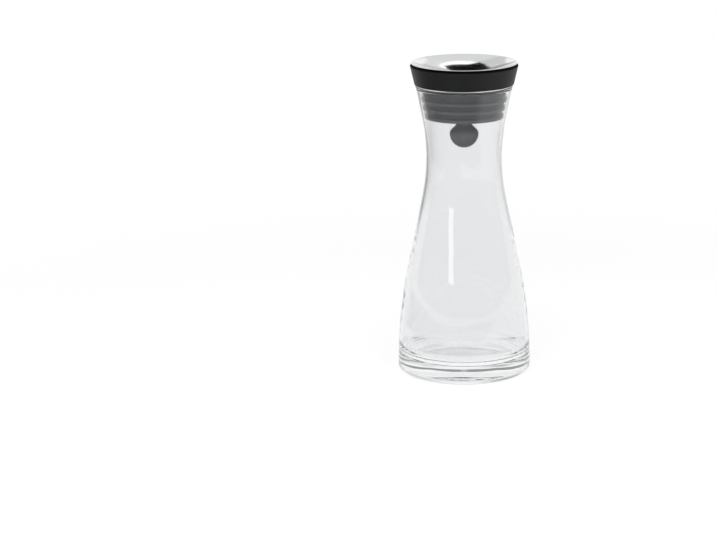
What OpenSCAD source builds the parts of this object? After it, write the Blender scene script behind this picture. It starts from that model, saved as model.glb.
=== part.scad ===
// Water carafe: a heavy-bottomed glass body, and a closure that opens by itself when the carafe is tilted.
// A steel lid lies loose on a collar. A weighted bulb hangs under it on a stem, and its swing tips the lid.

/* [Glass body] */
// Outer diameter of the glass above its foot
foot_d = 109.6; // [100:0.2:124]
// Radius of the rounded edge of the foot
foot_edge_r = 5; // [3:0.5:8]
// Outer diameter at the waist of the neck
waist_d = 62.2; // [56:0.2:70]
// Height of the waist
waist_z = 180.6; // [160:0.2:205]
// Height of the lip above the waist
neck_h = 59.6; // [50:0.2:70]
// Radius of the hollow curve of the neck
neck_arc_r = 167; // [130:1:195]
// Angle of the flank, as a multiple of the angle of a straight line from foot to waist
flank_ratio = 1.49; // [1.3:0.01:1.8]
// Angle of the flare at the mouth
flare_angle = 11.7; // [9:0.1:14]
// Thickness of the wall
glass_wall = 1.8; // [1.5:0.1:2.8]
// How far the fire-polished lip swells past the wall
lip_swell = 0.25; // [0.1:0.05:0.4]
// Thickness of the heavy bottom
bottom_t = 14; // [9:0.5:20]
// Radius between the inside floor and the wall
floor_corner_r = 11; // [6:0.5:16]
// Height of the hollow under the bottom
punt_h = 2.4; // [1:0.2:4]
// Width of the flat ring that the glass stands on
standing_w = 6; // [4:0.5:9]

/* [Collar] */
// Height of the collar from its underside to the top of its lip
collar_h = 16.1; // [14:0.1:20]
// How far the collar's underside reaches past the glass lip
collar_overhang = 0.3; // [0.2:0.1:1.2]
// Width of the bevel at the collar's lower edge
collar_bevel_w = 0.5; // [0.3:0.1:1]
// Height of the bevel at the collar's lower edge
collar_bevel_h = 0.5; // [0.3:0.1:1]
// How far the collar widens from the bevel to the middle of its lip
collar_flare = 2.5; // [1.6:0.1:4]
// Radius of the rounded lip
collar_lip_r = 0.9; // [0.6:0.1:1.2]
// Width of the lip's flat top, inside its rounding
collar_lip_w = 1.6; // [1.2:0.1:2.2]
// Thickness of the collar's floor
collar_floor_t = 2.6; // [2:0.1:3.4]
// Width of the floor inside the wall, beside the sleeve's flange
collar_floor_w = 2.6; // [1.5:0.1:3.5]

/* [Pour sleeve] */
// Thickness of the sleeve's wall
sleeve_wall = 1.8; // [1.4:0.1:2.4]
// Width of the flange that hangs the sleeve in the collar
sleeve_flange_w = 2.4; // [1.5:0.1:3]
// Thickness of that flange
sleeve_flange_t = 1.4; // [1:0.1:1.8]
// Depth of the guide's top face below the collar
guide_drop = 15.5; // [13:0.5:18]
// Height of the guide
guide_h = 3; // [2:0.2:4]
// Width of the guide's ring
guide_ring_w = 2.6; // [2:0.1:3.4]
// Number of spokes that hold the ring
spoke_count = 4; // [3:1:6]
// Width of a spoke
spoke_w = 2.4; // [1.6:0.1:3.4]

/* [Ribbed seal] */
// Number of ribs
rib_count = 3; // [2:1:3]
// Distance from rib to rib
rib_pitch = 6.9; // [5.6:0.1:7.6]
// Radius of a rib's round edge
rib_r = 1.6; // [1.2:0.1:1.9]
// How far a rib stands out of the seal
rib_depth = 2.2; // [2:0.1:2.6]
// Depth of the top rib's middle below the collar
first_rib_drop = 11.8; // [9:0.2:13]
// Thickness of the silicone between the ribs and the sleeve
seal_wall = 2; // [1.4:0.1:2.6]
// Thickness of the lip that the seal turns under the sleeve
seal_lip_t = 1.4; // [1:0.1:2]

/* [Lid] */
// Depth of the dish, from its rim to its middle
dish_depth = 9.3; // [6:0.1:10.5]
// Thickness of the dish's sheet
dish_t = 0.8; // [0.6:0.1:1.2]
// Radius of the rolled bead on the dish's rim
bead_r = 0.5; // [0.5:0.05:0.8]
// How far the middle of the bead lies inside the middle of the collar's lip
bead_inset = 0.3; // [0.2:0.05:0.8]
// Thickness of the core under the middle of the dish
core_t = 2.5; // [2:0.1:3.2]
// Height of the bevel at the lower edge of the core
core_bevel_h = 0.5; // [0.3:0.1:0.8]
// Diameter of the hub under the core
hub_d = 16; // [13:0.5:20]
// Length of the hub
hub_l = 5; // [4:0.2:6.5]
// How far the gasket's groove lies below the bead
gasket_drop = 6.1; // [5:0.1:6.5]
// Height of the gasket's groove
groove_h = 2; // [1.6:0.1:2.6]
// Depth of the gasket's groove
groove_depth = 1.6; // [1.2:0.1:2.2]
// How far the gasket's lip reaches out of the core
gasket_reach = 2.8; // [2:0.1:3.6]

/* [Swinging bulb] */
// Diameter of the stem
stem_d = 8; // [6:0.2:9]
// How far the stem reaches into the hub
stem_seat = 5.5; // [4:0.1:6.5]
// Depth of the bulb's widest place below the collar
bulb_drop = 40.6; // [34:0.2:44]
// Diameter of the bulb
bulb_d = 23.6; // [20:0.2:25]
// Radius of the bulb's shoulder
shoulder_r = 4.4; // [3:0.2:6]
// Slope of the bulb's shoulder where it runs up to the neck
shoulder_angle = 45; // [40:1:52]
// Diameter of the bulb's neck
bulb_neck_d = 12.6; // [10.2:0.2:13]
// Length of the neck above the shoulder
bulb_neck_l = 3.4; // [2:0.2:4.4]
// Radius of the hollow between shoulder and neck
bulb_fillet_r = 2.6; // [1:0.2:4]
// Thickness of the bulb's silicone skin
skin_t = 2.8; // [2:0.1:3.4]

/* [Motion and fits] */
// How far the lid tips
tip_angle = 7; // [4:0.5:8]
// Gap between pieces that move past each other
moving_gap = 0.3; // [0.2:0.05:0.5]
// Gap between pieces that are fixed together
fixed_gap = 0.05; // [0.02:0.01:0.1]

/* [Hidden] */
$fn = 180;

function polar(middle, r, angle) = middle + r * [cos(angle), sin(angle)];

// The outside of the glass: foot edge, belly arc, straight flank, neck arc and straight flare, all tangent.
foot_r = foot_d / 2;
waist_r = waist_d / 2;
rise = waist_z - foot_edge_r;
draw_in = foot_r - waist_r;
flank_angle = flank_ratio * atan(draw_in / rise);
both_arcs_r = (rise - draw_in / tan(flank_angle)) / tan(flank_angle / 2);
belly_arc_r = both_arcs_r - neck_arc_r;
belly_middle = [foot_r - belly_arc_r, foot_edge_r];
neck_middle = [waist_r + neck_arc_r, waist_z];
flank_way = [-sin(flank_angle), cos(flank_angle)];
flare_way = [sin(flare_angle), cos(flare_angle)];
lip_r = glass_wall / 2 + lip_swell;
flare_l = (neck_h - lip_r - (neck_arc_r + glass_wall / 2) * sin(flare_angle)) / cos(flare_angle);
// Where a line and an arc are tangent they lap by a hair, and run on far enough to cross cleanly.
lap = 0.02;
lap_l = 2 * sqrt(2 * belly_arc_r * lap);

// Places on the glass wall, at a depth inside its outer face.
function belly_end(inset) = polar(belly_middle, belly_arc_r - inset, flank_angle);
function neck_start(inset) = polar(neck_middle, -neck_arc_r - inset, flank_angle);
function neck_end(inset) = polar(neck_middle, -neck_arc_r - inset, -flare_angle);
function mouth(inset) = neck_end(inset) + flare_l * flare_way;

lip_middle = mouth(glass_wall / 2);
glass_top = waist_z + neck_h;
punt_r = foot_r - foot_edge_r - standing_w;
punt_sphere_r = (punt_r ^ 2 + punt_h ^ 2) / (2 * punt_h);

// The circle of the inside corner touches the floor and laps the inside of the belly arc.
corner_z = bottom_t + floor_corner_r;
corner_reach = belly_arc_r - glass_wall - floor_corner_r + lap;
corner_angle = asin((corner_z - foot_edge_r) / corner_reach);
corner_middle = [belly_middle.x + corner_reach * cos(corner_angle), corner_z];
corner_end = polar(belly_middle, belly_arc_r - glass_wall, corner_angle);

// The collar rests on the glass lip.
collar_z = glass_top + moving_gap;
collar_under_r = lip_middle.x + lip_r + collar_overhang;
collar_low_r = collar_under_r + collar_bevel_w;
collar_lip = [collar_low_r + collar_flare, collar_z + collar_h - collar_lip_r];
collar_floor_z = collar_z + collar_floor_t;

// Inside the mouth, seal and sleeve run along the flare, one inside the other.
function mouth_wall_r(z) = mouth(glass_wall).x + (z - mouth(glass_wall).y) * tan(flare_angle);
function crest_r(z) = mouth_wall_r(z) - moving_gap;
function groove_r(z) = crest_r(z) - rib_depth;
function sleeve_r(z) = groove_r(z) - seal_wall;
function sleeve_bore_r(z) = sleeve_r(z) - sleeve_wall;

low_rib_z = collar_z - first_rib_drop - (rib_count - 1) * rib_pitch;
seal_z = low_rib_z - rib_r;
sleeve_z = seal_z + seal_lip_t;
flange_r = sleeve_r(collar_floor_z) + sleeve_flange_w;
flange_z = collar_floor_z - sleeve_flange_t;
seat_foot = [flange_r + collar_floor_w, collar_floor_z];
seat_top = collar_lip + [-collar_lip_w, collar_lip_r];

// The dish lies on the inner edge of the collar's lip, and the lid tips about that edge.
rim_r = collar_lip.x - bead_inset;
dish_sphere_r = (rim_r ^ 2 + dish_depth ^ 2) / (2 * dish_depth);
dish_sphere_z = seat_top.y + sqrt((dish_sphere_r + dish_t / 2 + moving_gap) ^ 2 - seat_top.x ^ 2);
bead_middle = [rim_r, dish_sphere_z + dish_depth - dish_sphere_r];
tip_x = seat_top.x;
tip_z = seat_top.y + moving_gap;

function seat_r(z) = seat_foot.x + (seat_top.x - seat_foot.x) * (z - seat_foot.y) / (seat_top.y - seat_foot.y);
function dish_under_z(r) = dish_sphere_z - sqrt((dish_sphere_r + dish_t / 2) ^ 2 - r ^ 2);

gasket_z = bead_middle.y - gasket_drop;
core_r = seat_r(gasket_z) - moving_gap - gasket_reach;
core_z = dish_under_z(0) - core_t;
core_edge_z = gasket_z - groove_h;
hub_z = core_z - hub_l;

// The stem hangs from the hub into the weight in the bulb, and swings in the guide as the lid tips.
bulb_r = bulb_d / 2;
bulb_z = collar_z - bulb_drop;
stem_r = stem_d / 2;
stem_top_z = hub_z + stem_seat;
guide_top_z = collar_z - guide_drop;
guide_z = guide_top_z - guide_h;
tip_lift = tip_x * sin(tip_angle);
guide_swing = (tip_z - guide_z + tip_lift) * tan(tip_angle) - tip_x * (1 - cos(tip_angle));
guide_hole_r = stem_r / cos(tip_angle) + guide_swing + moving_gap;
weight_r = bulb_r - skin_t - fixed_gap;
weight_seat_z = bulb_z - stem_r / 2;

// The bulb's shoulder turns into a cone, and the cone into the neck.
bulb_neck_r = bulb_neck_d / 2;
shoulder_middle = [bulb_r - shoulder_r, bulb_z];
shoulder_end = polar(shoulder_middle, shoulder_r, shoulder_angle);
neck_corner = [bulb_neck_r, shoulder_end.y + (shoulder_end.x - bulb_neck_r) / tan(shoulder_angle)];
fillet_reach = bulb_fillet_r * tan((90 - shoulder_angle) / 2);
fillet_low = neck_corner + fillet_reach * [sin(shoulder_angle), -cos(shoulder_angle)];
fillet_top = neck_corner + [0, fillet_reach];
bulb_neck_z = neck_corner.y + bulb_neck_l;

black_plastic = "#232427";
grey_silicone = "#55565a";
polished_steel = "#d5d7da";
clear_glass = [0.86, 0.9, 0.9, 0.45];

// Half section of the vessel from a height up to the mouth, at a depth inside its outer face.
module vessel_half(inset, from_z) {
    flank_low = belly_end(inset + lap);
    flank_top = neck_start(inset - lap) + lap_l * flank_way;
    flare_low = neck_end(inset - lap) - lap_l * flare_way;
    intersection() {
        translate(belly_middle)
            circle(r = belly_arc_r - inset);
        translate([0, from_z])
            square([foot_r, belly_end(inset).y + lap_l - from_z]);
    }
    polygon([[0, flank_low.y], flank_low, flank_top, [0, flank_top.y]]);
    difference() {
        translate([0, neck_start(inset).y])
            square([neck_middle.x, neck_end(inset).y - neck_start(inset).y]);
        translate(neck_middle)
            circle(r = neck_arc_r + inset);
    }
    polygon([[0, flare_low.y], flare_low, mouth(inset), mouth(glass_wall), [0, mouth(glass_wall).y]]);
}

module foot_half() {
    square([foot_r - foot_edge_r, foot_edge_r]);
    translate([foot_r - foot_edge_r, foot_edge_r])
        circle(r = foot_edge_r);
}

module cavity_half() {
    translate([0, bottom_t])
        square([corner_middle.x, floor_corner_r]);
    translate(corner_middle)
        circle(r = floor_corner_r);
    translate([0, corner_z])
        square([corner_middle.x, corner_end.y - corner_z]);
    vessel_half(glass_wall, corner_end.y);
}

module glass_body() {
    color(clear_glass)
        rotate_extrude() {
            difference() {
                union() {
                    foot_half();
                    vessel_half(0, foot_edge_r);
                }
                cavity_half();
                translate([0, punt_h - punt_sphere_r])
                    circle(r = punt_sphere_r);
            }
            translate(lip_middle)
                circle(r = lip_r);
        }
}

// Bevelled below and wider towards its lip. The inside is a cone on which the gasket seals.
module collar() {
    hole_low_r = sleeve_r(collar_z) + fixed_gap;
    hole_top_r = sleeve_r(flange_z) + fixed_gap;
    recess_r = flange_r + fixed_gap;
    color(black_plastic)
        rotate_extrude() {
            polygon([
                [hole_low_r, collar_z],
                [collar_under_r, collar_z],
                [collar_low_r, collar_z + collar_bevel_h],
                collar_lip + [collar_lip_r, 0],
                collar_lip + [0, collar_lip_r],
                seat_top,
                seat_foot,
                [recess_r, collar_floor_z],
                [recess_r, flange_z],
                [hole_top_r, flange_z],
            ]);
            translate(collar_lip)
                circle(r = collar_lip_r);
        }
}

// A tapered tube hung in the collar by its flange, with a spoked guide for the stem.
module pour_sleeve() {
    color(black_plastic) {
        rotate_extrude()
            polygon([
                [sleeve_bore_r(sleeve_z), sleeve_z],
                [sleeve_r(sleeve_z), sleeve_z],
                [sleeve_r(flange_z), flange_z],
                [flange_r, flange_z],
                [flange_r, collar_floor_z],
                [sleeve_bore_r(collar_floor_z), collar_floor_z],
            ]);
        translate([0, 0, guide_z])
            difference() {
                cylinder(r = guide_hole_r + guide_ring_w, h = guide_h);
                translate([0, 0, -guide_h])
                    cylinder(r = guide_hole_r, h = 3 * guide_h);
            }
        for (i = [0 : spoke_count - 1])
            rotate(360 * (i + 0.5) / spoke_count)
                guide_spoke();
    }
}

module guide_spoke() {
    start_r = guide_hole_r + guide_ring_w / 2;
    end_r = sleeve_bore_r(guide_z) + sleeve_wall / 2;
    translate([start_r, -spoke_w / 2, guide_z])
        cube([end_r - start_r, spoke_w, guide_h]);
}

// A silicone hose over the sleeve, with round ribs that press on the glass and a lip under the sleeve.
module ribbed_seal() {
    color(grey_silicone)
        rotate_extrude()
            difference() {
                union() {
                    polygon([
                        [sleeve_bore_r(sleeve_z), seal_z],
                        [groove_r(low_rib_z), seal_z],
                        [groove_r(low_rib_z), low_rib_z],
                        [groove_r(collar_z), collar_z],
                        [sleeve_bore_r(sleeve_z), collar_z],
                    ]);
                    for (i = [0 : rib_count - 1]) {
                        z = low_rib_z + i * rib_pitch;
                        tip_r = crest_r(z) - rib_r;
                        translate([sleeve_r(z) + seal_wall / 2, z - rib_r])
                            square([tip_r - sleeve_r(z) - seal_wall / 2, 2 * rib_r]);
                        translate([tip_r, z])
                            circle(r = rib_r);
                    }
                }
                polygon([
                    [0, sleeve_z],
                    [sleeve_r(sleeve_z) + fixed_gap, sleeve_z],
                    [sleeve_r(collar_z) + fixed_gap, collar_z],
                    [0, collar_z],
                ]);
            }
}

module lid_dish() {
    color(polished_steel)
        rotate_extrude() {
            intersection() {
                difference() {
                    translate([0, dish_sphere_z])
                        circle(r = dish_sphere_r + dish_t / 2);
                    translate([0, dish_sphere_z])
                        circle(r = dish_sphere_r - dish_t / 2);
                }
                translate([0, dish_under_z(0) - dish_t])
                    square([bead_middle.x, dish_depth + 3 * dish_t]);
            }
            translate(bead_middle)
                circle(r = bead_r);
        }
}

// Fills the underside of the dish, with a groove for the gasket and a hub for the stem.
module lid_core() {
    groove_floor_r = core_r - groove_depth;
    color(black_plastic)
        rotate_extrude()
            difference() {
                polygon([
                    [0, hub_z],
                    [hub_d / 2, hub_z],
                    [hub_d / 2, core_z],
                    [groove_floor_r, core_edge_z],
                    [core_r, core_edge_z + core_bevel_h],
                    [core_r, bead_middle.y],
                    [0, bead_middle.y],
                ]);
                translate([0, dish_sphere_z])
                    circle(r = dish_sphere_r + dish_t / 2 + fixed_gap);
                translate([groove_floor_r, gasket_z - groove_h / 2])
                    square([2 * groove_depth, groove_h]);
                translate([0, hub_z - hub_l])
                    square([stem_r + fixed_gap, hub_l + stem_seat]);
            }
}

// A ring in the core's groove, with a thin lip that leans down onto the collar's cone.
module lid_gasket() {
    inner_r = core_r - groove_depth + fixed_gap;
    half_h = groove_h / 2 - fixed_gap;
    tip_r = half_h / 2;
    tip = [seat_r(gasket_z) - moving_gap - 2 * tip_r, gasket_z - half_h];
    color(grey_silicone)
        rotate_extrude() {
            translate([inner_r, gasket_z - half_h])
                square([core_r + tip_r - inner_r, 2 * half_h]);
            polygon([
                [core_r, gasket_z + half_h],
                [core_r, gasket_z - half_h],
                tip + [0, -tip_r],
                tip + [0, tip_r],
                [core_r + tip_r, gasket_z + half_h],
            ]);
            translate(tip)
                circle(r = tip_r);
        }
}

module swing_stem() {
    color(polished_steel)
        translate([0, 0, weight_seat_z])
            cylinder(r = stem_r, h = stem_top_z - weight_seat_z);
}

module bulb_weight() {
    color(polished_steel)
        difference() {
            translate([0, 0, bulb_z])
                sphere(r = weight_r);
            translate([0, 0, weight_seat_z])
                cylinder(r = stem_r + fixed_gap, h = bulb_r);
        }
}

// Half section of the bulb: a half ball, a round shoulder and a cone that runs into the neck.
module bulb_half() {
    intersection() {
        translate([0, bulb_z])
            circle(r = bulb_r);
        translate([0, bulb_z - bulb_r])
            square(bulb_r);
    }
    intersection() {
        translate(shoulder_middle)
            circle(r = shoulder_r);
        translate([0, bulb_z])
            square(bulb_r);
    }
    polygon([
        [0, bulb_z],
        shoulder_middle,
        shoulder_end,
        neck_corner,
        [bulb_neck_r, bulb_neck_z],
        [0, bulb_neck_z],
    ]);
    difference() {
        polygon([fillet_low, fillet_top, neck_corner]);
        translate([bulb_neck_r + bulb_fillet_r, fillet_top.y])
            circle(r = bulb_fillet_r);
    }
}

module bulb_skin() {
    color(grey_silicone)
        rotate_extrude()
            difference() {
                bulb_half();
                translate([0, bulb_z])
                    circle(r = weight_r + fixed_gap);
                translate([0, bulb_z])
                    square([stem_r + fixed_gap, bulb_d]);
            }
}

glass_body();
collar();
pour_sleeve();
ribbed_seal();
lid_dish();
lid_core();
lid_gasket();
swing_stem();
bulb_weight();
bulb_skin();
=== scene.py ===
"""Water carafe: turned meshes, finishes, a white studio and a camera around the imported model."""
import math

import bmesh
import bpy
from bpy.props import FloatProperty, FloatVectorProperty, IntProperty, PointerProperty
from bpy.types import Operator, Panel, PropertyGroup
from mathutils import Matrix, Vector


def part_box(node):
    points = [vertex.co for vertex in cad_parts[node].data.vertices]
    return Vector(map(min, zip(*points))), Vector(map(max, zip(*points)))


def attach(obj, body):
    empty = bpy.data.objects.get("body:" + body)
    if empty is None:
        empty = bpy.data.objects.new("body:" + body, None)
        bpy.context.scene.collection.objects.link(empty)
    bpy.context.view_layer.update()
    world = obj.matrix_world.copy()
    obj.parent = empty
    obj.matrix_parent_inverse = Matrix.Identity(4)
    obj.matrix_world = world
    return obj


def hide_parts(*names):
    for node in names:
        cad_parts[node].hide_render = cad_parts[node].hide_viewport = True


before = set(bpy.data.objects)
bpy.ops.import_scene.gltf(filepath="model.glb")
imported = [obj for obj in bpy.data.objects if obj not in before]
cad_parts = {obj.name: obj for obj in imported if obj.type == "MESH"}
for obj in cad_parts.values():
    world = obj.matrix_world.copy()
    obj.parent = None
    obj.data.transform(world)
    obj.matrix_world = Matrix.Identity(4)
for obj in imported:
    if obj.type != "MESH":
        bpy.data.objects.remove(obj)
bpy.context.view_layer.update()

bl_info = {
    "name": "Water Carafe",
    "version": (1, 0, 0),
    "blender": (4, 5, 0),
    "location": "View3D > Sidebar > Carafe",
    "description": "Turns the pieces of a water carafe, gives them their finishes and sets up a white studio",
    "category": "Object",
}

PHOTO_WIDTH = 716
SENSOR_WIDTH = 36
MM = 0.001
RAYS = ("camera", "diffuse", "glossy", "transmission", "volume_scatter", "shadow")

GLASS_IOR = 1.5
GLASS_SEGMENTS = 176
STOPPER_SEGMENTS = 160
DISH_SEGMENTS = 176
BULB_SEGMENTS = 96
ON_AXIS = 1e-7
FLOOR_HALF = 8
LAMP_AIM = (0, 0, 0.13)

GLASS_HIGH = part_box("glass_body")[1]
COLLAR_LOW, COLLAR_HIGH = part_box("collar")
SLEEVE_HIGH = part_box("pour_sleeve")[1]
SEAL_LOW, SEAL_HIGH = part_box("ribbed_seal")
DISH_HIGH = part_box("lid_dish")[1]
BULB_LOW, BULB_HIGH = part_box("bulb_skin")


def number(name, description, default, **kind):
    """A number that a user can set."""
    return FloatProperty(name=name, description=description, default=default, **kind)


def length(name, description, default):
    """A size that a user can set, in metres."""
    return number(name, description, default, unit="LENGTH", precision=5)


def angle(name, description, degrees):
    """An angle that a user can set."""
    return number(name, description, math.radians(degrees), subtype="ANGLE")


def share(name, description, default):
    """A number from 0 to 1 that a user can set."""
    return number(name, description, default, min=0, max=1, subtype="FACTOR")


def pixels(name, description, default):
    """A distance in the picture that a user can set."""
    return number(name, description, default, subtype="PIXEL")


def count(name, description, default):
    """A whole number that a user can set."""
    return IntProperty(name=name, description=description, default=default)


def colour(name, description, default):
    """A linear colour that a user can set."""
    kind = {"size": 3, "min": 0, "max": 1, "subtype": "COLOR"}
    return FloatVectorProperty(name=name, description=description, default=default, **kind)


class GlassSettings(PropertyGroup):
    """Sizes and colours of the glass body."""

    foot_edge: length("Foot Edge", "Radius of the rounded edge of the foot", 5 * MM)
    waist_radius: length("Waist Radius", "Outer radius at the waist of the neck", 31.1 * MM)
    waist_height: length("Waist Height", "Height of the waist", 180.6 * MM)
    neck_arc: length("Neck Arc", "Radius of the hollow curve of the neck", 167 * MM)
    flank_ratio: number("Flank Ratio", "Angle of the flank over that of a line from foot to waist", 1.49)
    flare: angle("Flare", "Angle of the flare at the mouth", 11.7)
    wall: length("Wall", "Thickness of the wall", 1.8 * MM)
    lip_swell: length("Lip Swell", "How far the fire-polished lip swells past the wall", 0.25 * MM)
    bottom: length("Bottom", "Thickness of the heavy bottom", 14 * MM)
    floor_corner: length("Floor Corner", "Radius between the inside floor and the wall", 11 * MM)
    hollow: length("Hollow", "Height of the hollow under the bottom", 2.4 * MM)
    standing_ring: length("Standing Ring", "Width of the flat ring that the glass stands on", 6 * MM)
    ripple: length("Ripple", "Unevenness left in the inside of the wall by blowing", 0.05 * MM)
    tint: colour("Tint", "Share of light that a wall lets through", (0.902, 0.91, 0.914))
    depth_tint: colour("Depth Tint", "Colour that thick glass takes", (0.76, 0.8, 0.81))
    depth_density: number("Depth Density", "How fast thick glass takes its colour", 4.0)
    trapped: count("Trapped Bounces", "Bounces after which a ray leaves the glass in a straight line", 6)
    # The lip's glow is painted light: an emission that stands in for light running up inside the wall.
    lip_glow: share("Lip Glow", "How bright the lip is with the light that runs up inside the wall", 1.0)
    lip_middle: share("Lip Middle", "Share of the lip's glow that is left between its sides", 0.45)


class StopperSettings(PropertyGroup):
    """Sizes and colours of the stopper's fixed pieces."""

    bevel_width: length("Bevel Width", "Width of the bevel at the collar's lower edge", 0.5 * MM)
    bevel_height: length("Bevel Height", "Height of the bevel at the collar's lower edge", 0.5 * MM)
    lip: length("Lip", "Radius of the collar's rounded lip", 0.9 * MM)
    lip_top: length("Lip Top", "Width of the lip's flat top, inside its rounding", 1.6 * MM)
    collar_flare: length("Collar Flare", "How far the collar widens from the bevel to its lip", 2.5 * MM)
    collar_floor: length("Collar Floor", "Thickness of the collar's floor", 2.6 * MM)
    flange: length("Flange", "Thickness of the flange that hangs the sleeve in the collar", 1.4 * MM)
    floor_ledge: length("Floor Ledge", "Width of the collar's floor beside the flange", 2.6 * MM)
    rib: length("Rib", "Radius of a rib's round edge", 1.6 * MM)
    rib_depth: length("Rib Depth", "How far a rib stands out of the seal", 2.2 * MM)
    rib_pitch: length("Rib Pitch", "Distance from rib to rib", 6.9 * MM)
    rib_count: count("Ribs", "Number of ribs on the seal", 3)
    rib_root: length("Rib Root", "Radius of the hollow where a rib meets the seal", 0.5 * MM)
    seal_wall: length("Seal Wall", "Thickness of the silicone between ribs and sleeve", 2 * MM)
    sleeve_wall: length("Sleeve Wall", "Thickness of the sleeve's wall", 1.8 * MM)
    seal_lip: length("Seal Lip", "Thickness of the lip that the seal turns under the sleeve", 1.4 * MM)
    fit: length("Fit", "Gap between pieces that are fixed together", 0.05 * MM)
    gap: length("Gap", "Gap between pieces that move past each other", 0.3 * MM)
    plastic: colour("Plastic", "Colour of the black plastic", (0.0095, 0.0098, 0.0104))
    silicone: colour("Silicone", "Colour of the grey silicone", (0.05, 0.051, 0.0555))


class LidSettings(PropertyGroup):
    """Sizes and colours of the lid and the bulb under it."""

    bead: length("Bead", "Radius of the rolled bead on the dish's rim", 0.5 * MM)
    sheet: length("Sheet", "Thickness of the dish's sheet", 0.8 * MM)
    depth: length("Depth", "Depth of the dish from its bead to its middle", 9.3 * MM)
    shoulder: length("Shoulder", "Radius of the bulb's shoulder", 4.4 * MM)
    shoulder_slope: angle("Shoulder Slope", "Slope of the shoulder where it runs up to the neck", 45)
    bulb_neck: length("Bulb Neck", "Radius of the bulb's neck", 6.3 * MM)
    bulb_fillet: length("Bulb Fillet", "Radius of the hollow between shoulder and neck", 2.6 * MM)
    skin: length("Skin", "Thickness of the bulb's skin", 2.8 * MM)
    stem: length("Stem", "Radius of the stem", 4 * MM)
    polished: colour("Polished Steel", "Colour of the polished steel", (0.66, 0.665, 0.67))
    # The dish's black underside is painted shade, standing in for the shade in the gap under its rim.
    lacquer: colour("Lacquer", "Colour of the lacquer under the dish", (0.004, 0.004, 0.004))
    turned: colour("Turned Steel", "Colour of the turned steel", (0.55, 0.55, 0.56))
    # The bulb's colour is painted light: a lighter copy of the seal's grey silicone, making up for the shade
    # under the seal.
    dipped: colour("Dipped Silicone", "Colour of the bulb's silicone", (0.078, 0.079, 0.086))


class StudioSettings(PropertyGroup):
    """Camera, floor and light."""

    camera_distance: length("Camera Distance", "From the carafe's axis to the camera, level", 2.0)
    camera_height: length("Camera Height", "Height of the camera above the floor", 0.581)
    camera_pitch: angle("Camera Pitch", "How far the camera looks down", 13.95)
    focal_pixels: pixels("Focal Length", "Focal length in pixels of the picture", 2480.0)
    offset_pixels: pixels("Offset", "How far right of the picture's middle the carafe stands", 106.1)
    floor: colour("Floor", "Colour of the floor", (0.96, 0.96, 0.96))
    floor_white: share("Floor White", "Share of the floor's look that is plain white", 0.7)
    floor_near: length("Floor Near", "Distance from the axis where the floor starts to turn white", 0.2)
    floor_far: length("Floor Far", "Distance from the axis where the floor is plain white", 0.7)
    ambient: number("Ambient", "Light from all round on the carafe", 0.35)


def arc(middle, radius, start, end, spacing):
    """Points along an arc between two angles in degrees."""
    steps = max(4, math.ceil(abs(math.radians(end - start)) * radius / spacing))
    turns = [math.radians(start + (end - start) * i / steps) for i in range(steps + 1)]
    return [(middle[0] + radius * math.cos(t), middle[1] + radius * math.sin(t)) for t in turns]


def dense(points, spacing):
    """The same outline with extra points, so that no step is longer than the spacing."""
    out = []
    for (r0, z0), (r1, z1) in zip(points, points[1:]):
        steps = max(1, math.ceil(math.hypot(r1 - r0, z1 - z0) / spacing))
        out += [(r0 + (r1 - r0) * i / steps, z0 + (z1 - z0) * i / steps) for i in range(steps)]
    return out + [points[-1]]


def softened(corners, steps=5):
    """Points of a polygon whose corners (radius, height, rounding) are rounded."""
    out = []
    for i, (r, z, rounding) in enumerate(corners):
        if rounding == 0:
            out.append((r, z))
            continue
        here = Vector((r, z))
        back = (Vector(corners[i - 1][:2]) - here).normalized()
        on = (Vector(corners[(i + 1) % len(corners)][:2]) - here).normalized()
        half = back.angle(on) / 2
        middle = here + (back + on).normalized() * rounding / math.sin(half)
        reach = rounding / math.tan(half)
        start = here + back * reach - middle
        first = math.degrees(math.atan2(start.y, start.x))
        sweep = 180 - 2 * math.degrees(half)
        left = back.x * on.y - back.y * on.x < 0
        last = first + (sweep if left else -sweep)
        out += arc(middle, rounding, first, last, math.radians(sweep) * rounding / steps)
    return out


def eased(points, passes, near, reach):
    """The outline with its kinks smoothed within reach of a point."""
    points = [Vector(p) for p in points]
    loose = [i for i in range(1, len(points) - 1) if (points[i] - Vector(near)).length < reach]
    for _ in range(passes):
        moved = {i: (points[i - 1] + 2 * points[i] + points[i + 1]) / 4 for i in loose}
        for i, p in moved.items():
            points[i] = p
    return [tuple(p) for p in points]


def ramp(value, start, end):
    """Runs straight from 0 to 1 as a value goes from start to end."""
    return min(1, max(0, (value - start) / (end - start)))


def turned(name, outline, segments, uneven=None):
    """A mesh turned from a closed outline.

    uneven(angle, radius, height) may return a moved (radius, height).
    """
    bm = bmesh.new()
    rings = []
    for r, z in outline:
        if r < ON_AXIS:
            rings.append([bm.verts.new((0, 0, z))])
            continue
        ring = []
        for k in range(segments):
            t = 2 * math.pi * k / segments
            rr, zz = uneven(t, r, z) if uneven else (r, z)
            ring.append(bm.verts.new((rr * math.cos(t), rr * math.sin(t), zz)))
        rings.append(ring)
    closed = len(rings[0]) > 1 or len(rings[-1]) > 1
    pairs = list(zip(rings, rings[1:])) + ([(rings[-1], rings[0])] if closed else [])
    for low, high in pairs:
        for k in range(segments):
            n = (k + 1) % segments
            if len(low) == 1:
                bm.faces.new((low[0], high[n], high[k]))
            elif len(high) == 1:
                bm.faces.new((low[k], low[n], high[0]))
            else:
                bm.faces.new((low[k], low[n], high[n], high[k]))
    bmesh.ops.recalc_face_normals(bm, faces=bm.faces)
    mesh = bpy.data.meshes.new(name)
    bm.to_mesh(mesh)
    bm.free()
    mesh.shade_smooth()
    piece = bpy.data.objects.new(name, mesh)
    bpy.context.scene.collection.objects.link(piece)
    return piece


def fitted(piece, material, body, slot, *nodes):
    """Gives a piece its finish and puts it on its body in place of CAD nodes."""
    piece.data.materials.append(material)
    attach(piece, body)
    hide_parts(*nodes)


def coated(node, material):
    """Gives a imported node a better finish."""
    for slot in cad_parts[node].material_slots:
        slot.material = material


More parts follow.
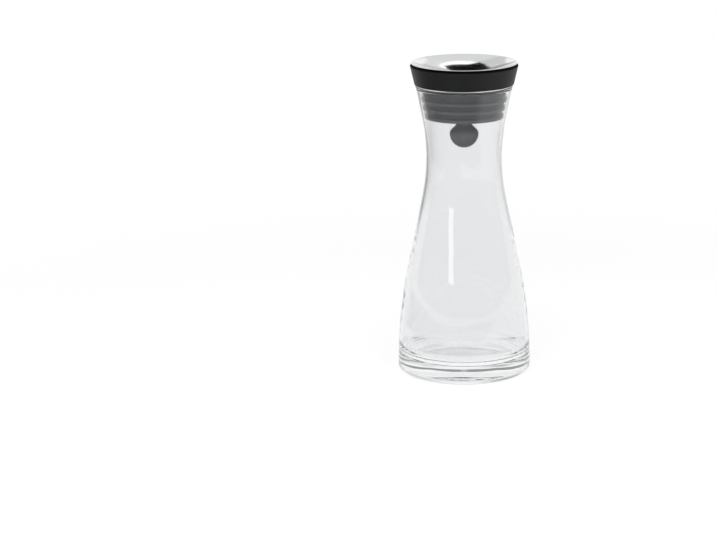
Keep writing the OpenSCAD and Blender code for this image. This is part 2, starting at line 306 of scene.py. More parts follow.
class Value:
    """A socket of a node tree. Arithmetic on it adds Math nodes."""

    def __init__(self, nodes, socket):
        self.nodes, self.socket = nodes, socket

    def math(self, operation, *values):
        """The result of a Math node that is fed these values."""
        return self.nodes.add("ShaderNodeMath", {"operation": operation}, dict(enumerate(values)))[0]

    def __add__(self, other):
        return self.math("ADD", self, other)

    __radd__ = __add__

    def __sub__(self, other):
        return self.math("SUBTRACT", self, other)

    def __rsub__(self, other):
        return self.math("SUBTRACT", other, self)

    def __mul__(self, other):
        return self.math("MULTIPLY", self, other)

    __rmul__ = __mul__

    def __abs__(self):
        return self.math("ABSOLUTE", self)

    def larger(self, other):
        """The larger of this value and another."""
        return self.math("MAXIMUM", self, other)


class Nodes:
    """Adds nodes to the tree of a material or of the world."""

    def __init__(self, tree):
        self.tree = tree
        self.tree.nodes.clear()

    def add(self, kind, settings=None, inputs=None):
        """Adds a node, sets it up and feeds its sockets, by name or place. Returns its outputs, in order."""
        node = self.tree.nodes.new(kind)
        for name, value in (settings or {}).items():
            setattr(node, name, value)
        for name, value in (inputs or {}).items():
            if isinstance(value, Value):
                self.tree.links.new(value.socket, node.inputs[name])
            else:
                node.inputs[name].default_value = value
        return [Value(self, socket) for socket in node.outputs]

    def place(self):
        """Where a point lies on the piece, in metres."""
        _, _, _, on_piece, *_ = self.add("ShaderNodeTexCoord")
        return on_piece

    def parts(self, vector):
        """The X, Y and Z of a vector."""
        return self.add("ShaderNodeSeparateXYZ", None, {0: vector})

    def across(self):
        """How far right a point lies on the piece, in metres."""
        return self.parts(self.place())[0]

    def height(self):
        """How high a point lies on the piece, in metres."""
        return self.parts(self.place())[2]

    def upward(self):
        """How far up a surface faces, from -1 to 1."""
        _, normal, *_ = self.add("ShaderNodeNewGeometry")
        return self.parts(normal)[2]

    def axis_distance(self):
        """How far a point lies from the axis, in metres."""
        level = {0: self.place(), 1: (1, 1, 0)}
        outward = self.add("ShaderNodeVectorMath", {"operation": "MULTIPLY"}, level)[0]
        return self.add("ShaderNodeVectorMath", {"operation": "LENGTH"}, {0: outward})[1]

    def grain(self, size, detail=3.0, roughness=0.5, vector=None):
        """Noise from 0 to 1 with grains of a size in metres."""
        inputs = {
            "Vector": vector or self.place(),
            "Scale": 1 / size,
            "Detail": detail,
            "Roughness": roughness,
        }
        return self.add("ShaderNodeTexNoise", None, inputs)[0]

    def band(self, value, low, high):
        """Runs smoothly from 0 to 1 as a value goes from low to high."""
        inputs = {"Value": value, "From Min": low, "From Max": high}
        return self.add("ShaderNodeMapRange", {"interpolation_type": "SMOOTHSTEP"}, inputs)[0]

    def tones(self, factor, first, last):
        """A colour between two others, which are plain ones or sockets."""
        first, last = (c if isinstance(c, Value) else (*c, 1) for c in (first, last))
        # Sockets 6 and 7 and output 2 are the colours of a Mix node.
        return self.add("ShaderNodeMix", {"data_type": "RGBA"}, {0: factor, 6: first, 7: last})[2]

    def bump(self, height, distance, strength=1.0):
        """A normal from a height, 1 being a distance in metres."""
        inputs = {"Height": height, "Distance": distance, "Strength": strength}
        return self.add("ShaderNodeBump", None, inputs)[0]

    def ray(self, *kinds):
        """The largest of some outputs of Light Path: 1 for rays of a kind and 0 for others, or a count."""
        outputs = {v.socket.name: v for v in self.add("ShaderNodeLightPath")}
        total = outputs[kinds[0]]
        for kind in kinds[1:]:
            total = total.larger(outputs[kind])
        return total


def new_finish(name):
    """An empty material and its nodes."""
    material = bpy.data.materials.new(name)
    material.use_nodes = True
    return material, Nodes(material.node_tree)


def scaled(tone, factor):
    """A colour made darker or lighter."""
    return tuple(min(1.0, c * factor) for c in tone)


def wavy_glass(settings):
    """Clear glass, faintly smeared and wavy, that lets lamps and long-trapped rays straight through, with a
    painted glow on its lip.
    """
    material, n = new_finish("wavy_glass")
    smear = n.band(n.grain(30 * MM, 4.0, 0.6), 0.5, 0.75)
    under = n.band(n.upward(), -0.3, -0.8)
    wall = n.band(n.height(), settings.bottom, settings.bottom + settings.floor_corner)
    top = GLASS_HIGH.z
    # Painted glow: the top of the lip is given emission, brighter towards its left and right sides, standing
    # in for light running up inside the wall.
    lip = n.band(n.height(), top - 1.2 * MM, top - 0.4 * MM) * n.band(n.upward(), 0.55, 0.95)
    sides = n.band(abs(n.across() + 4 * MM), 5 * MM, 20 * MM)
    glow = lip * (settings.lip_middle + sides * (1 - settings.lip_middle))
    glass = n.add("ShaderNodeBsdfPrincipled", None, {
        "Base Color": n.tones(wall, (1, 1, 1), settings.tint),
        "Roughness": 0.004 + smear * 0.02,
        "IOR": GLASS_IOR,
        "Transmission Weight": 1.0,
        "Emission Color": n.tones(glow, (0, 0, 0), (0.95, 0.98, 1)),
        "Emission Strength": settings.lip_glow,
        "Normal": n.bump(n.grain(20 * MM, 1.0) * (1 + under * 7), 0.08 * MM),
    })[0]
    lamps = n.add("ShaderNodeBsdfTransparent", None, {"Color": (*settings.tint, 1)})[0]
    trapped = n.band(n.ray("Ray Depth"), settings.trapped, settings.trapped + 1)
    straight = n.ray("Is Shadow Ray", "Is Diffuse Ray").larger(trapped)
    both = n.add("ShaderNodeMixShader", None, {0: straight, 1: glass, 2: lamps})[0]
    depth = n.add("ShaderNodeVolumeAbsorption", None, {
        "Color": (*settings.depth_tint, 1),
        "Density": settings.depth_density,
    })[0]
    n.add("ShaderNodeOutputMaterial", None, {"Surface": both, "Volume": depth})
    return material


def satin_plastic(settings):
    """Satin black plastic with the fine grain of its mould, faint rubbed places, and a lip painted deep black
    as painted shade under the dish's rim.
    """
    material, n = new_finish("satin_plastic")
    fine, cloudy = n.grain(0.45 * MM, 4.0, 0.6), n.grain(12 * MM, 4.0, 0.6)
    satin = n.tones(cloudy, scaled(settings.plastic, 0.8), scaled(settings.plastic, 1.25))
    # Painted shade: the top of the collar's lip is made near black and dull, standing in for the shade in the
    # gap under the dish's rim.
    lip = n.band(n.height(), COLLAR_HIGH.z - 1.1 * MM, COLLAR_HIGH.z - 0.5 * MM)
    shader = n.add("ShaderNodeBsdfPrincipled", None, {
        "Base Color": n.tones(lip, satin, scaled(settings.plastic, 0.1)),
        "Roughness": 0.4 + cloudy * 0.12 + fine * 0.06 + lip * 0.4,
        "Specular IOR Level": 0.16,
        "Normal": n.bump(fine, 0.03 * MM, 0.6),
    })[0]
    n.add("ShaderNodeOutputMaterial", None, {"Surface": shader})
    return material


def silicone(name, tone, painted_light):
    """Matte silicone of a colour, with a dry bloom, and painted light and shade: lighter where the given mask
    is high, darker where it is low.
    """
    material, n = new_finish(name)
    fine, bloom = n.grain(0.3 * MM, 3.0, 0.6), n.grain(9 * MM, 5.0, 0.65)
    # Painted light and shade: the caller's mask makes the silicone lighter where light falls and darker where
    # shade falls.
    shader = n.add("ShaderNodeBsdfPrincipled", None, {
        "Base Color": n.tones(bloom * 0.3 + painted_light(n) * 0.7, scaled(tone, 0.68), scaled(tone, 1.4)),
        "Roughness": 0.5 + bloom * 0.15,
        "Specular IOR Level": 0.3,
        "Normal": n.bump(fine, 0.02 * MM, 0.7),
    })[0]
    n.add("ShaderNodeOutputMaterial", None, {"Surface": shader})
    return material


def matte_silicone(settings):
    """Grey silicone of the seal and the gasket, with painted shade between the ribs."""
    slope = math.tan(bpy.context.scene.carafe_glass.flare)

    def on_ribs(n):
        # Painted shade: the silicone is lighter on the rib crests and darker down in the grooves between
        # them.
        crest = SEAL_HIGH.x + settings.rib_depth + (n.height() - SEAL_HIGH.z) * slope
        return n.band(crest - n.axis_distance(), settings.rib_depth, 0)

    return silicone("matte_silicone", settings.silicone, on_ribs)


def painted_light_silicone(settings):
    """Lighter grey silicone of the bulb, painted lighter than the seal's to make up for the shade under the
    seal, with painted light on its upper side and painted shade underneath.
    """
    # Painted light and shade: lighter on the upper side, darker underneath.
    return silicone("painted_light_silicone", settings.dipped, lambda n: n.band(n.upward(), -0.8, 0.8))


def mirror_steel(settings):
    """Mirror-polished steel with the rings left by spinning, and painted shade underneath: black, dull and
    not metallic.
    """
    material, n = new_finish("mirror_steel")
    across = n.add("ShaderNodeCombineXYZ", None, {0: n.axis_distance(), 1: n.height()})[0]
    rings, cloud = n.grain(0.5 * MM, 3.0, 0.7, across), n.grain(15 * MM, 4.0, 0.6)
    steel = n.tones(cloud, scaled(settings.polished, 0.96), scaled(settings.polished, 1.03))
    # Painted shade: faces that face sideways or down are made black, dull and not metallic, standing in for
    # the shade under the dish's rim.
    unshaded_steel = n.band(n.upward(), 0.05, 0.45)
    shader = n.add("ShaderNodeBsdfPrincipled", None, {
        "Base Color": n.tones(unshaded_steel, settings.lacquer, steel),
        "Metallic": unshaded_steel,
        "Roughness": 0.45 - unshaded_steel * 0.4 + rings * 0.05 + cloud * 0.04,
        "Normal": n.bump(rings, 0.002 * MM),
    })[0]
    n.add("ShaderNodeOutputMaterial", None, {"Surface": shader})
    return material


def lathe_steel(settings):
    """Turned steel with fine tool marks round it."""
    material, n = new_finish("lathe_steel")
    along = n.add("ShaderNodeCombineXYZ", None, {0: n.axis_distance(), 2: n.height()})[0]
    marks = n.grain(0.2 * MM, 2.0, 0.6, along)
    shader = n.add("ShaderNodeBsdfPrincipled", None, {
        "Base Color": n.tones(marks, scaled(settings.turned, 0.9), scaled(settings.turned, 1.08)),
        "Metallic": 1.0,
        "Roughness": 0.2 + marks * 0.12,
        "Normal": n.bump(marks, 0.004 * MM),
    })[0]
    n.add("ShaderNodeOutputMaterial", None, {"Surface": shader})
    return material


def shared_finish(maker, settings):
    """The material that a maker gives, made once."""
    return bpy.data.materials.get(maker.__name__) or maker(settings)


class GlassShape:
    """Places on the wall of the glass, at a depth inside its outer face."""

    def __init__(self, s):
        self.s = s
        self.foot = GLASS_HIGH.x
        rise, draw_in = s.waist_height - s.foot_edge, self.foot - s.waist_radius
        self.flank = s.flank_ratio * math.atan(draw_in / rise)
        both_arcs = (rise - draw_in / math.tan(self.flank)) / math.tan(self.flank / 2)
        self.belly_arc = both_arcs - s.neck_arc
        self.belly_middle = (self.foot - self.belly_arc, s.foot_edge)
        self.neck_middle = (s.waist_radius + s.neck_arc, s.waist_height)
        self.lip = s.wall / 2 + s.lip_swell
        neck = GLASS_HIGH.z - s.waist_height - self.lip
        self.flare_length = (neck - (s.neck_arc + s.wall / 2) * math.sin(s.flare)) / math.cos(s.flare)

    def mouth(self, inset):
        """Where the wall ends at the middle of the lip."""
        reach, flare = self.s.neck_arc + inset, self.s.flare
        r = self.neck_middle[0] - reach * math.cos(flare) + self.flare_length * math.sin(flare)
        z = self.neck_middle[1] + reach * math.sin(flare) + self.flare_length * math.cos(flare)
        return r, z

    def mouth_wall(self, z):
        """Inner radius of the flare at a height."""
        r, top = self.mouth(self.s.wall)
        return r + (z - top) * math.tan(self.s.flare)

    def within(self, r, z):
        """True for points on the inner face of the belly and the flank, and for the underside."""
        if z > self.s.waist_height:
            return False
        out = self.belly_middle[0] + math.sqrt(self.belly_arc ** 2 - (z - self.belly_middle[1]) ** 2)
        return r < out - self.s.wall / 2

    def side(self, inset, start, spacing):
        """The wall from an angle on the belly arc up to the lip."""
        flank, flare = math.degrees(self.flank), math.degrees(self.s.flare)
        belly = arc(self.belly_middle, self.belly_arc - inset, start, flank, spacing)
        neck = arc(self.neck_middle, self.s.neck_arc + inset, 180 + flank, 180 - flare, spacing)
        below_lip = math.sqrt(self.lip ** 2 - (self.s.wall / 2) ** 2)
        top_r, top_z = self.mouth(inset)
        top = (top_r - below_lip * math.sin(self.s.flare), top_z - below_lip * math.cos(self.s.flare))
        return dense(belly + neck + [top], spacing)

    def outline(self, spacing):
        """The whole section, from the middle of the underside round to the middle of the inside floor."""
        s = self.s
        ring_out = self.foot - s.foot_edge
        ring_in = ring_out - s.standing_ring
        ball = (ring_in ** 2 + s.hollow ** 2) / (2 * s.hollow)
        spread = math.degrees(math.asin(ring_in / ball))
        under = arc((0, s.hollow - ball), ball, 90, 90 - spread, spacing)
        foot = arc((ring_out, s.foot_edge), s.foot_edge, -90, 0, spacing / 3)
        corner_z = s.bottom + s.floor_corner
        reach = self.belly_arc - s.wall - s.floor_corner
        lean = math.degrees(math.asin((corner_z - s.foot_edge) / reach))
        corner_r = self.belly_middle[0] + reach * math.cos(math.radians(lean))
        corner = arc((corner_r, corner_z), s.floor_corner, lean, -90, spacing / 2)
        flare = math.degrees(s.flare)
        past = math.degrees(math.acos(s.wall / 2 / self.lip))
        lip = arc(self.mouth(s.wall / 2), self.lip, -flare - past, 180 - flare + past, spacing / 5)
        inside = self.side(s.wall, lean, spacing)[::-1]
        ring_edge = 0.4 * MM
        ring = softened([(*under[-2], 0), (ring_in, 0, ring_edge), (ring_out, 0, 0)])[1:-1]
        base = dense(under[:-1] + ring + foot[:1], spacing)
        floor = dense([corner[-1], (0, s.bottom)], spacing)
        return base + foot[1:] + self.side(0, 0, spacing)[1:] + lip + inside + corner[1:] + floor[1:]


class BlowGlass(Operator):
    """Make the glass body, slightly uneven inside as blown glass is"""

    bl_idname = "carafe.blow_glass"
    bl_label = "Blow Glass"

    def execute(self, context):
        s = context.scene.carafe_glass
        shape = GlassShape(s)
        spacing = 1.6 * MM
        ring_pitch, rise_pitch, fall_pitch = 1.7 * MM, 19 * MM, 13 * MM

        def uneven(t, r, z):
            if not shape.within(r, z):
                return r, z
            # Fine wandering rings and slow swirls, which fade out towards the foot and the neck.
            calm = ramp(z, 30 * MM, 55 * MM) * ramp(z, 150 * MM, 110 * MM)
            wander = 1.4 * math.sin(t + 0.7) + 0.8 * math.sin(2 * t + 2.1)
            rings = math.sin(z / ring_pitch + wander)
            swirls = math.sin(3 * t + z / rise_pitch) + 0.6 * math.sin(5 * t - z / fall_pitch + 1.3)
            return r + s.ripple * calm * (0.6 * rings + 0.7 * swirls), z

        piece = turned("blown_glass", shape.outline(spacing), GLASS_SEGMENTS, uneven)
        fitted(piece, shared_finish(wavy_glass, s), "carafe", "clear_glass", "glass_body")
        return {"FINISHED"}


class MouldCollar(Operator):
    """Make the collar that carries the lid, and finish the sleeve that hangs in it"""

    bl_idname = "carafe.mould_collar"
    bl_label = "Mould Collar"

    def execute(self, context):
        s = context.scene.carafe_stopper
        spacing, lip_spacing = 0.9 * MM, 0.12 * MM
        low, high, out = COLLAR_LOW.z, COLLAR_HIGH.z, COLLAR_HIGH.x
        lip = (out - s.lip, high - s.lip)
        low_r = lip[0] - s.collar_flare
        floor_z = low + s.collar_floor
        flange_r = SLEEVE_HIGH.x
        slope = math.tan(context.scene.carafe_glass.flare)
        hole = sleeve_radius(context, floor_z - s.flange) + s.fit
        below = [
            (hole - s.flange * slope, low, 0.15 * MM),
            (low_r - s.bevel_width, low, 0.2 * MM),
            (low_r, low + s.bevel_height, 0.4 * MM),
            (out, lip[1], 0),
        ]
        inside = [
            (lip[0], high, 0),
            (lip[0] - s.lip_top, high, 0.3 * MM),
            (flange_r + s.floor_ledge, floor_z, 0.6 * MM),
            (flange_r + s.fit, floor_z, 0.1 * MM),
            (flange_r + s.fit, floor_z - s.flange, 0),
            (hole, floor_z - s.flange, 0),
        ]
        corners = softened(below + inside)
        split = corners.index((out, lip[1]))
        rounding = arc(lip, s.lip, 0, 90, lip_spacing)[1:-1]
        outline = corners[: split + 1] + rounding + corners[split + 1:]
        piece = turned("moulded_collar", dense(outline + outline[:1], spacing)[:-1], STOPPER_SEGMENTS)
        plastic = shared_finish(satin_plastic, s)
        fitted(piece, plastic, "stopper", "black_plastic", "collar")
        coated("pour_sleeve", plastic)
        return {"FINISHED"}


def sleeve_radius(context, z):
    """Outer radius of the sleeve at a height."""
    s = context.scene.carafe_stopper
    return seal_radius(context, z) - s.seal_wall


def seal_radius(context, z):
    """Radius of the seal between its ribs at a height."""
    s = context.scene.carafe_stopper
    return rib_radius(context, z) - s.rib_depth


def rib_radius(context, z):
    """Radius of the seal over its ribs at a height."""
    s = context.scene.carafe_stopper
    return GlassShape(context.scene.carafe_glass).mouth_wall(z) - s.gap


class MouldSeal(Operator):
    """Make the silicone hose with its round ribs"""

    bl_idname = "carafe.mould_seal"
    bl_label = "Mould Seal"

    def execute(self, context):
        s = context.scene.carafe_stopper
        spacing, rib_spacing = 0.6 * MM, 0.25 * MM
        low, high = SEAL_LOW.z, SEAL_HIGH.z
        hem = low + s.seal_lip
        hem_r = sleeve_radius(context, hem)
        outline = [(hem_r - s.sleeve_wall, low)]
        for i in range(s.rib_count):
            z = low + s.rib + i * s.rib_pitch
            outline += arc((rib_radius(context, z) - s.rib, z), s.rib, -90, 90, rib_spacing)
            foot = (seal_radius(context, z + s.rib), z + s.rib, s.rib_root)
            last = i == s.rib_count - 1
            end = high if last else z + s.rib_pitch - s.rib
            head = (seal_radius(context, end), end, 0 if last else s.rib_root)
            after = (sleeve_radius(context, end), end, 0)
            outline += softened([(*outline[-1], 0), foot, head, after], 4)[1:-1]
        top = sleeve_radius(context, high)
        outline += [(top + s.fit, high), (hem_r + s.fit, hem), (hem_r - s.sleeve_wall, hem)]
        piece = turned("ribbed_hose", dense(outline + outline[:1], spacing)[:-1], STOPPER_SEGMENTS)
        fitted(piece, shared_finish(matte_silicone, s), "stopper", "grey_silicone", "ribbed_seal")
        return {"FINISHED"}


class SpinLid(Operator):
    """Make the polished dish, and finish the core and the gasket under it"""

    bl_idname = "carafe.spin_lid"
    bl_label = "Spin Lid"

    def execute(self, context):
        s = context.scene.carafe_lid
        bead = (DISH_HIGH.x - s.bead, DISH_HIGH.z - s.bead)
        ball = (bead[0] ** 2 + s.depth ** 2) / (2 * s.depth)
        middle = (0, bead[1] - s.depth + ball)
        upper, lower = ball - s.sheet / 2, ball + s.sheet / 2
        slope = math.degrees(math.asin(bead[0] / ball))
        tail = math.sqrt(s.bead ** 2 - (s.sheet / 2) ** 2)
        lean = slope - math.degrees(tail / ball)
        open_half = math.degrees(math.acos(tail / s.bead))
        spacing, fine_spacing, bead_spacing = 0.8 * MM, 0.3 * MM, 0.06 * MM
        ease_passes, ease_reach = 8, 0.5 * MM
        top = arc(middle, upper, -90 + lean, -90, spacing)
        under = arc(middle, lower, -90, -90 + lean, spacing)
        rolled = arc(bead, s.bead, slope - 180 + open_half, slope + 180 - open_half, bead_spacing)
        outline = dense(under + rolled[1:-1] + top, fine_spacing)
        outline = eased(outline, ease_passes, top[0], ease_reach)
        piece = turned("spun_dish", outline, DISH_SEGMENTS)
        fitted(piece, shared_finish(mirror_steel, s), "lid", "polished_steel", "lid_dish")
        coated("lid_core", shared_finish(satin_plastic, context.scene.carafe_stopper))
        coated("lid_gasket", shared_finish(matte_silicone, context.scene.carafe_stopper))
        return {"FINISHED"}


class DipBulb(Operator):
    """Make the silicone bulb, and finish the stem and the weight in it"""

    bl_idname = "carafe.dip_bulb"
    bl_label = "Dip Bulb"

    def execute(self, context):
        s = context.scene.carafe_lid
        bulb = BULB_HIGH.x
        z = BULB_LOW.z + bulb
        spacing, longest = 0.4 * MM, 0.5 * MM
        slope = math.degrees(s.shoulder_slope)
        shoulder = arc((bulb - s.shoulder, z), s.shoulder, 0, slope, spacing)
        foot_r, foot_z = shoulder[-1]
        corner_z = foot_z + (foot_r - s.bulb_neck) / math.tan(s.shoulder_slope)
        bore = s.stem + context.scene.carafe_stopper.fit
        hollow = bulb - s.skin
        body = arc((0, z), bulb, -90, 0, spacing) + shoulder[1:]
        neck = softened([
            (*shoulder[-1], 0),
            (s.bulb_neck, corner_z, s.bulb_fillet),
            (s.bulb_neck, BULB_HIGH.z, 0.5 * MM),
            (bore, BULB_HIGH.z, 0.2 * MM),
            (bore, z + math.sqrt(hollow ** 2 - bore ** 2), 0),
        ], 8)
        inside = arc((0, z), hollow, math.degrees(math.acos(bore / hollow)), -90, spacing)
        outline = dense(body + neck[1:-1] + inside, longest)
        outline[0], outline[-1] = (0, outline[0][1]), (0, outline[-1][1])
        piece = turned("dipped_bulb", outline, BULB_SEGMENTS)
        fitted(piece, shared_finish(painted_light_silicone, s), "lid", "grey_silicone", "bulb_skin")
        steel = shared_finish(lathe_steel, s)
        coated("swing_stem", steel)
        coated("bulb_weight", steel)
        return {"FINISHED"}


def floor_finish(settings):
    """White paper that keeps a soft shadow."""
    material, n = new_finish("white_paper")
    paper = n.add("ShaderNodeBsdfDiffuse", None, {"Color": (*settings.floor, 1)})[0]
    white = n.add("ShaderNodeEmission", None, {"Strength": 1.0})[0]
    far = n.band(n.axis_distance(), settings.floor_near, settings.floor_far)
    share_white = settings.floor_white + far * (1 - settings.floor_white)
    seen = n.ray("Is Camera Ray", "Is Glossy Ray", "Is Transmission Ray") * share_white
    both = n.add("ShaderNodeMixShader", None, {0: seen, 1: paper, 2: white})[0]
    n.add("ShaderNodeOutputMaterial", None, {"Surface": both})
    return material


def card_finish(name, level):
    """Plain card of an even grey, in which a surface shows that grey."""
    material, n = new_finish(name)
    shader = n.add("ShaderNodeEmission", None, {"Color": (level, level, level, 1), "Strength": 1.0})[0]
    n.add("ShaderNodeOutputMaterial", None, {"Surface": shader})
    return material


def graded_finish(name, size, soft, edge, middle):
    """Card whose grey runs from its edges to its middle.

    size is (width, low, high), and soft holds the distances (across, up) that it takes.
    """
    material, n = new_finish(name)
    width, low, high = size
    across, _, up = n.parts(n.place())
    inside = n.band(abs(across), width / 2, width / 2 - soft[0])
    ends = n.band(up, low, low + soft[1]) * n.band(up, high, high - soft[1])
    tone = n.tones(inside * ends, (edge, edge, edge), (middle, middle, middle))
    shader = n.add("ShaderNodeEmission", None, {"Color": tone, "Strength": 1.0})[0]
    n.add("ShaderNodeOutputMaterial", None, {"Surface": shader})
    return material


def staged(name, points, material, kinds):
    """A flat stage piece through some points, that shows only for some kinds of rays."""
    mesh = bpy.data.meshes.new(name)
    mesh.from_pydata(points, [], [tuple(range(len(points)))])
    mesh.materials.append(material)
    obj = bpy.data.objects.new(name, mesh)
    bpy.context.scene.collection.objects.link(obj)
    for kind in RAYS:
        setattr(obj, "visible_" + kind, kind in kinds)
    return obj


def sheet(name, corners, material, *kinds):
    """An upright sheet of corners (across, height), facing -Y."""
    return staged(name, [(x, 0, z) for x, z in corners], material, kinds)


def flat(name, half, material, *kinds):
    """A level square sheet round the axis."""
    corners = [(-half, -half, 0), (half, -half, 0), (half, half, 0), (-half, half, 0)]
    return staged(name, corners, material, kinds)


def block(width, low, high):
    """The corners of a rectangle that stands upright."""
    return [(-width / 2, low), (width / 2, low), (width / 2, high), (-width / 2, high)]


def stood(obj, distance, degrees):
    """Stands a sheet at a distance from the axis, turned round it from +Y towards +X, facing the axis."""
    turn = math.radians(degrees)
    obj.location = (distance * math.sin(turn), distance * math.cos(turn), 0)
    obj.rotation_euler = (0, 0, -turn)


def softbox(name, place, size, watts):
    """A soft rectangular lamp that shines from a place at the carafe and isn't seen itself."""
    data = bpy.data.lights.new(name, "AREA")
    data.shape = "RECTANGLE"
    data.size, data.size_y = size
    data.energy = watts
    lamp = bpy.data.objects.new(name, data)
    lamp.location = place
    lamp.rotation_euler = (Vector(LAMP_AIM) - Vector(place)).to_track_quat("-Z", "Y").to_euler()
    for kind in ("camera", "transmission", "glossy"):
        setattr(lamp, "visible_" + kind, False)
    bpy.context.scene.collection.objects.link(lamp)


class SetStudio(Operator):
    """Lay the white floor, hang the lamps and cards and place the camera"""

    bl_idname = "carafe.set_studio"
    bl_label = "Set Studio"

    def execute(self, context):
        s = context.scene.carafe_studio
        flat("paper_floor", FLOOR_HALF, floor_finish(s), *RAYS)
        self.hang_lamps()
        self.hang_strip()
        self.hang_edge_cards()
        self.lay_flags()
        self.hang_bars()
        self.stand_walls()
        self.stand_lid_cards()
        self.light_world(context, s)
        self.place_camera(context, s)
        context.scene.view_settings.view_transform = "Standard"
        return {"FINISHED"}

    def hang_lamps(self):
        """Soft lamps above, in front and at both sides."""
        fill = (0.8, 1.2)
        lamps = (
            ("top_softbox", (0, -0.5, 1.7), (1.4, 1.2), 26),
            ("front_fill", (-0.2, -1.5, 0.6), fill, 13),
            ("left_fill", (-0.9, -1.1, 0.4), fill, 3),
            ("right_fill", (1.3, -0.7, 0.7), fill, 4),
        )
        for name, place, size, watts in lamps:
            softbox(name, place, size, watts)

    def hang_strip(self):
        """The strip of light in the front of the glass, and a small flag that ends it below the neck."""
        degrees, strip_distance, flag_distance = 212, 1.4, 0.12
        strip_level, flag_level, flag_size = 4, 0.15, (0.1, 0.158, 0.18)
        corners = [
            (-0.035, 0.25), (-0.02, 0.275), (0.01, 0.29), (0.075, 0.315), (0.16, 0.34), (0.23, 0.37),
            (-0.1, 0.38), (-0.155, 0.352), (-0.21, 0.327), (-0.255, 0.302), (-0.285, 0.275), (-0.285, 0.25),
        ]
        strip = sheet("strip_light", corners, card_finish("strip_cloth", strip_level), "glossy")
        stood(strip, strip_distance, degrees)
        card = card_finish("strip_flag_card", flag_level)
        flag = sheet("strip_flag", block(*flag_size), card, "glossy")
        stood(flag, flag_distance, degrees)

    def hang_edge_cards(self):
        """Soft grey cards behind the carafe, which shade the glass towards its edges."""
        size, soft, behind = (0.66, 0, 0.15), (0.25, 0.05), 0.6
        for side, x, tone in (("left", -0.35, 0.25), ("right", 0.37, 0.65)):
            shade = graded_finish(f"{side}_shade", size, soft, 1, tone)
            card = sheet(f"{side}_edge_card", block(*size), shade, "transmission")
            card.location = (x, behind, 0)

    def lay_flags(self):
        """Dark cloths on the floor in front, which keep its white out of what the dark pieces mirror."""
        width, end, soft, tone = 2.2, 0.9, (0.3, 0.14), 0.08
        lift, turn = 3 * MM, math.radians(-27)
        for name, left, right, near in (("front_flag", -0.25, 1.1, 0.08), ("left_flag", -1.1, -0.25, -0.06)):
            cloth = graded_finish(f"{name}_cloth", (width, near, end), soft, 1, tone)
            corners = [(left, near), (right, near), (right, end), (left, end)]
            flag = sheet(name, corners, cloth, "glossy")
            flag.location.z = lift
            flag.rotation_euler = (math.radians(90), 0, turn)

    def hang_bars(self):
        """A ring of grey bars, which draw the dark lines in the foot of the glass."""
        low, high, sides, distance, gap_distance = 1.04, 1.31, 9, 4, 3.98
        bar_width, bar_level = 3, 0.3
        gap_width, gap_level = 0.24, 0.5
        grey = card_finish("bar_grey", bar_level)
        for k in range(sides):
            bar = sheet(f"low_bar_{k}", block(bar_width, low, high), grey, "transmission")
            stood(bar, distance, 360 / sides * k)
        paler = card_finish("gap_grey", gap_level)
        gap = sheet("bar_gap", block(gap_width, low, high), paler, "transmission")
        gap.location.y = gap_distance

    def stand_walls(self):
        """Dim walls on the camera's side, which the dark pieces and the steel mirror."""
        size, distance, start, step = (1.61, 0, 1.8), 3, 90, 30
        for k, level in enumerate((0.35, 0.25, 0.14, 0.08, 0.08, 0.1, 0.14)):
            grey = card_finish(f"wall_grey_{k}", level)
            wall = sheet(f"front_wall_{k}", block(*size), grey, "glossy")
            stood(wall, distance, start + step * k)

    def stand_lid_cards(self):
        """Cards behind the carafe, which the dish of the lid mirrors."""
        nearest, step = 1.5, 0.05
        dark = [
            (0.16, 1.14), (0.12, 1.36), (0.03, 1.43), (-0.05, 1.42), (-0.12, 1.49), (-0.18, 1.51),
            (-0.19, 1.25), (-0.15, 0.88), (-0.12, 0.74), (0, 0.74), (0.07, 0.8),
        ]
        lit = [
            (0.13, 0.95), (0.2, 1.1), (0.22, 1.4), (0.18, 1.65), (0.1, 1.77), (0.02, 1.8),
            (-0.11, 1.71), (-0.16, 1.55), (-0.16, 0.95),
        ]
        left = [(0.2, 0.45), (0.6, 0.45), (0.6, 1.4), (0.4, 1.4), (0.28, 1), (0.2, 0.72)]
        right = [(-0.22, 0.45), (-0.6, 0.45), (-0.6, 1.3), (-0.42, 1.3), (-0.3, 1), (-0.22, 0.74)]
        grey = block(1.4, 0.6, 0.95)
        stands = (
            ("dark_stand", dark, 0.0),
            ("lit_stand", lit, 1.7),
            ("left_stand", left, 1.25),
            ("right_stand", right, 1.25),
            ("grey_stand", grey, 0.75),
        )
        for i, (name, corners, level) in enumerate(stands):
            stand = sheet(name, corners, card_finish(f"{name}_card", level), "glossy")
            stand.location.y = nearest + step * i
        soft_stands = (
            ("shade_stand", (-0.16, 1.6, 0), (0.14, 0.62, 0.88), (0.04, 0.06), 0.75, 0.4),
            ("far_stand", (-0.4, 1.8, 0), (0.6, 0.8, 2), (0.2, 0.2), 1, 0.82),
        )
        for name, place, size, soft, edge, middle in soft_stands:
            card = graded_finish(f"{name}_card", size, soft, edge, middle)
            stand = sheet(name, block(*size), card, "glossy")
            stand.location = place

    def light_world(self, context, s):
        """A room that lights the carafe softly and looks white."""
        world = bpy.data.worlds.new("white_room")
        context.scene.world = world
        world.use_nodes = True
        n = Nodes(world.node_tree)
        seen = n.ray("Is Camera Ray", "Is Glossy Ray", "Is Transmission Ray")
        room = n.add("ShaderNodeBackground", None, {"Strength": s.ambient})[0]
        white = n.add("ShaderNodeBackground", None, {"Color": (1, 1, 1, 1), "Strength": 1.0})[0]
        both = n.add("ShaderNodeMixShader", None, {0: seen, 1: room, 2: white})[0]
        n.add("ShaderNodeOutputWorld", None, {"Surface": both})

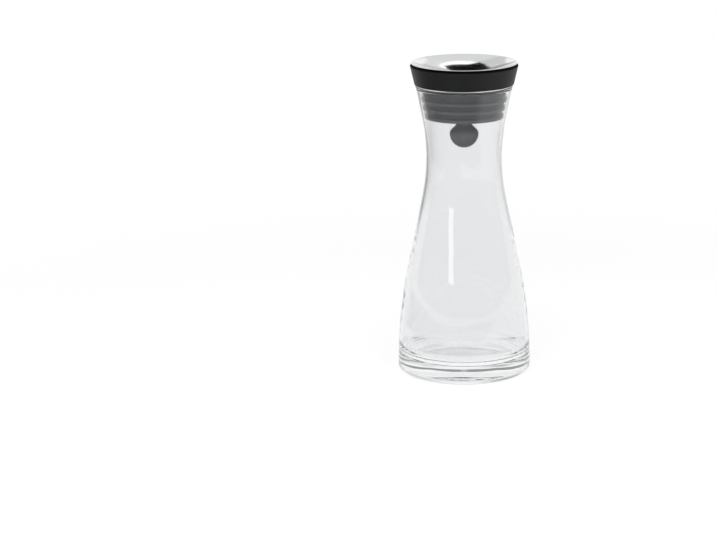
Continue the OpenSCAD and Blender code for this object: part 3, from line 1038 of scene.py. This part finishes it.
    def place_camera(self, context, s):
        """The camera at the photograph's place, turned so that the carafe stands right of the middle."""
        data = bpy.data.cameras.new("camera")
        data.sensor_width = SENSOR_WIDTH
        data.lens = SENSOR_WIDTH * s.focal_pixels / PHOTO_WIDTH
        camera = bpy.data.objects.new("camera", data)
        look = Matrix.Rotation(math.radians(90) - s.camera_pitch, 4, "X")
        aside = Matrix.Rotation(math.atan(s.offset_pixels / s.focal_pixels), 4, "Y")
        camera.matrix_world = Matrix.Translation((0, -s.camera_distance, s.camera_height)) @ look @ aside
        context.scene.collection.objects.link(camera)
        context.scene.camera = camera


OPERATORS = (BlowGlass, MouldCollar, MouldSeal, SpinLid, DipBulb, SetStudio)


class CarafePanel(Panel):
    """Lists the carafe's pieces and settings"""

    bl_idname = "VIEW3D_PT_carafe"
    bl_label = "Water Carafe"
    bl_space_type = "VIEW_3D"
    bl_region_type = "UI"
    bl_category = "Carafe"

    def draw(self, context):
        for operator in OPERATORS:
            self.layout.operator(operator.bl_idname)
        for name in SETTINGS:
            box = self.layout.box()
            settings = getattr(context.scene, name)
            for prop in settings.bl_rna.properties:
                if prop.identifier not in {"rna_type", "name"}:
                    box.prop(settings, prop.identifier)


SETTINGS = {
    "carafe_glass": GlassSettings,
    "carafe_stopper": StopperSettings,
    "carafe_lid": LidSettings,
    "carafe_studio": StudioSettings,
}


def register():
    for cls in (*SETTINGS.values(), *OPERATORS, CarafePanel):
        bpy.utils.register_class(cls)
    for name, group in SETTINGS.items():
        setattr(bpy.types.Scene, name, PointerProperty(type=group))


def unregister():
    for name in SETTINGS:
        delattr(bpy.types.Scene, name)
    for cls in (CarafePanel, *reversed(OPERATORS), *SETTINGS.values()):
        bpy.utils.unregister_class(cls)


def main():
    register()
    bpy.ops.carafe.blow_glass()
    bpy.ops.carafe.mould_collar()
    bpy.ops.carafe.mould_seal()
    bpy.ops.carafe.spin_lid()
    bpy.ops.carafe.dip_bulb()
    bpy.ops.carafe.set_studio()


if __name__ == "__main__":
    main()
